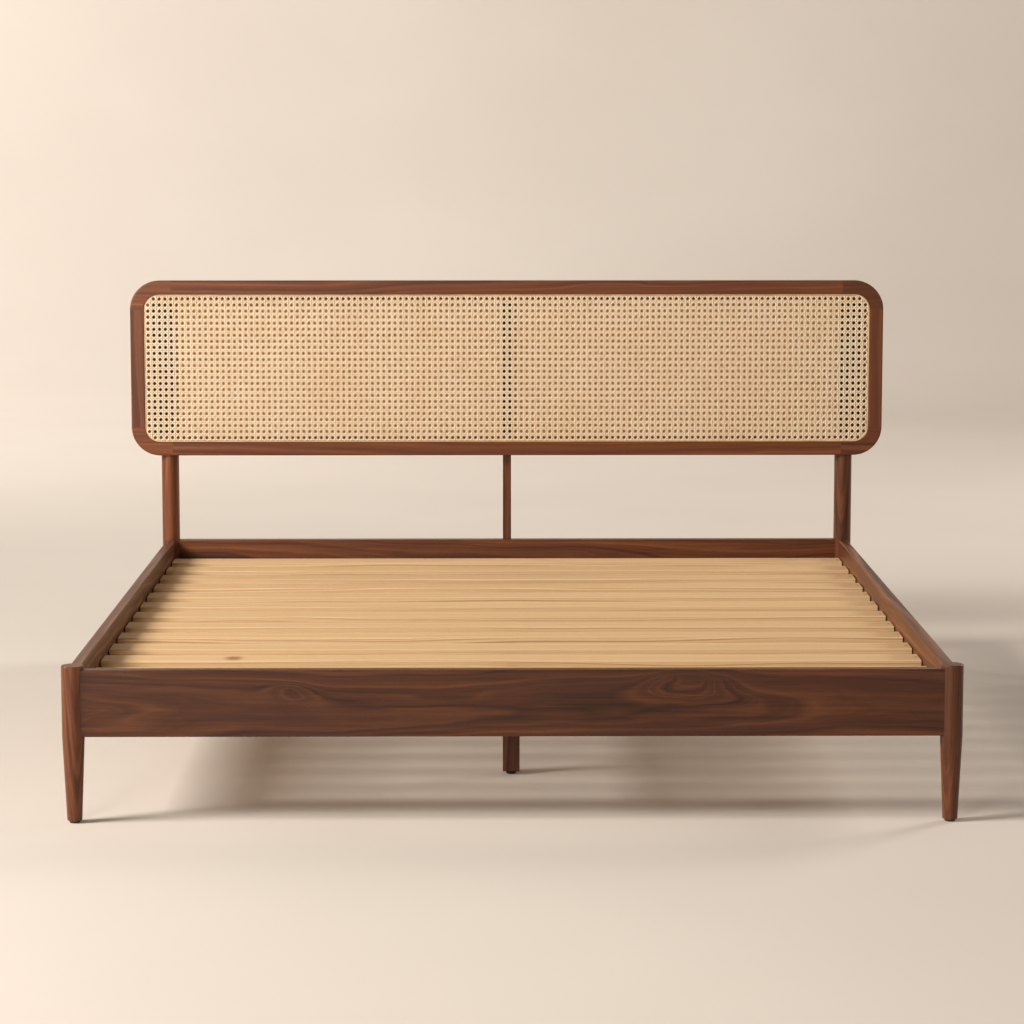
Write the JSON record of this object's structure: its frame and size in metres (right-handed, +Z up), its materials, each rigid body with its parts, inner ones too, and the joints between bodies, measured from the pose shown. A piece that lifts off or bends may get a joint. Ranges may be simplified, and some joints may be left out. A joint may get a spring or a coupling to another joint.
{
  "type": "bed frame",
  "caption": "King-size walnut bed frame with round tapered legs, a slatted deck on a centre beam and a round-cornered headboard filled with woven cane.",
  "frame": {"origin": "on the floor, under the middle of the frame's bounding box", "axes": "+X to the right seen from the foot of the bed, +Y from the foot to the head, +Z up"},
  "size_m": [2.208, 2.131, 1.121],
  "materials": {
    "walnut": "satin oiled walnut",
    "cane": "natural woven rattan cane",
    "panel_ply": "thin plywood, stained light brown",
    "reed": "natural rattan reed",
    "slat_pine": "planed softwood, unfinished",
    "beech": "plain beech",
    "black_steel": "black powder coat",
    "zinc_steel": "zinc plated",
    "insert_brass": "plain brass",
    "glide_plastic": "black nylon"
  },
  "bodies": {
    "root": {"headboard_top_rail": "walnut", "headboard_bottom_rail": "walnut", "headboard_stile_left": "walnut", "headboard_stile_right": "walnut", "headboard_corner_top_left": "walnut", "headboard_corner_top_right": "walnut", "headboard_corner_bottom_left": "walnut", "headboard_corner_bottom_right": "walnut", "batten_left": "walnut", "batten_middle": "walnut", "batten_right": "walnut", "centre_strut": "walnut", "rear_post_left": "walnut", "rear_post_right": "walnut", "front_leg_left": "walnut", "front_leg_right": "walnut", "head_rail": "walnut", "foot_rail": "walnut", "side_rail_left": "walnut", "side_rail_right": "walnut", "ledger_left": "walnut", "ledger_right": "walnut", "centre_beam": "walnut", "centre_leg_foot": "walnut", "centre_leg_middle": "walnut", "centre_leg_head": "walnut", "cane_panel": "cane", "back_panel": "panel_ply", "cane_spline": "reed", "slat_01": "slat_pine", "slat_02": "slat_pine", "slat_03": "slat_pine", "slat_04": "slat_pine", "slat_05": "slat_pine", "slat_06": "slat_pine", "slat_07": "slat_pine", "slat_08": "slat_pine", "slat_09": "slat_pine", "slat_10": "slat_pine", "slat_11": "slat_pine", "slat_12": "slat_pine", "slat_13": "slat_pine", "dowels": "beech", "corner_bracket_front_left": "black_steel", "corner_bracket_front_right": "black_steel", "corner_bracket_rear_left": "black_steel", "corner_bracket_rear_right": "black_steel", "beam_hangers": "black_steel", "bracket_bolts": "zinc_steel", "headboard_bolts": "zinc_steel", "pan_screws": "zinc_steel", "wood_screws": "zinc_steel", "threaded_inserts": "insert_brass", "leg_glides": "glide_plastic"},
    "glide_pad_foot": {"glide_pad_foot": "glide_plastic"},
    "glide_stem_foot": {"glide_stem_foot": "zinc_steel"},
    "glide_pad_middle": {"glide_pad_middle": "glide_plastic"},
    "glide_stem_middle": {"glide_stem_middle": "zinc_steel"},
    "glide_pad_head": {"glide_pad_head": "glide_plastic"},
    "glide_stem_head": {"glide_stem_head": "zinc_steel"}
  },
  "joints": [
    {"name": "glide_pad_foot_drop", "type": "slide", "parent": "root", "child": "glide_pad_foot", "axis": [0, 0, -1], "range_m": [0, 0.012]},
    {"name": "glide_stem_foot_turn", "type": "hinge", "parent": "glide_pad_foot", "child": "glide_stem_foot", "pos_m": [0, -0.54, 0.01], "axis": [0, 0, -1], "range_deg": [0, 3456]},
    {"name": "glide_pad_middle_drop", "type": "slide", "parent": "root", "child": "glide_pad_middle", "axis": [0, 0, -1], "range_m": [0, 0.012]},
    {"name": "glide_stem_middle_turn", "type": "hinge", "parent": "glide_pad_middle", "child": "glide_stem_middle", "pos_m": [0, 0, 0.01], "axis": [0, 0, -1], "range_deg": [0, 3456]},
    {"name": "glide_pad_head_drop", "type": "slide", "parent": "root", "child": "glide_pad_head", "axis": [0, 0, -1], "range_m": [0, 0.012]},
    {"name": "glide_stem_head_turn", "type": "hinge", "parent": "glide_pad_head", "child": "glide_stem_head", "pos_m": [0, 0.54, 0.01], "axis": [0, 0, -1], "range_deg": [0, 3456]}
  ],
  "couplings": [
    {"joint": "glide_pad_foot_drop", "follows": "glide_stem_foot_turn", "m_per_rad": 0.00019894},
    {"joint": "glide_pad_middle_drop", "follows": "glide_stem_middle_turn", "m_per_rad": 0.00019894},
    {"joint": "glide_pad_head_drop", "follows": "glide_stem_head_turn", "m_per_rad": 0.00019894}
  ]
}
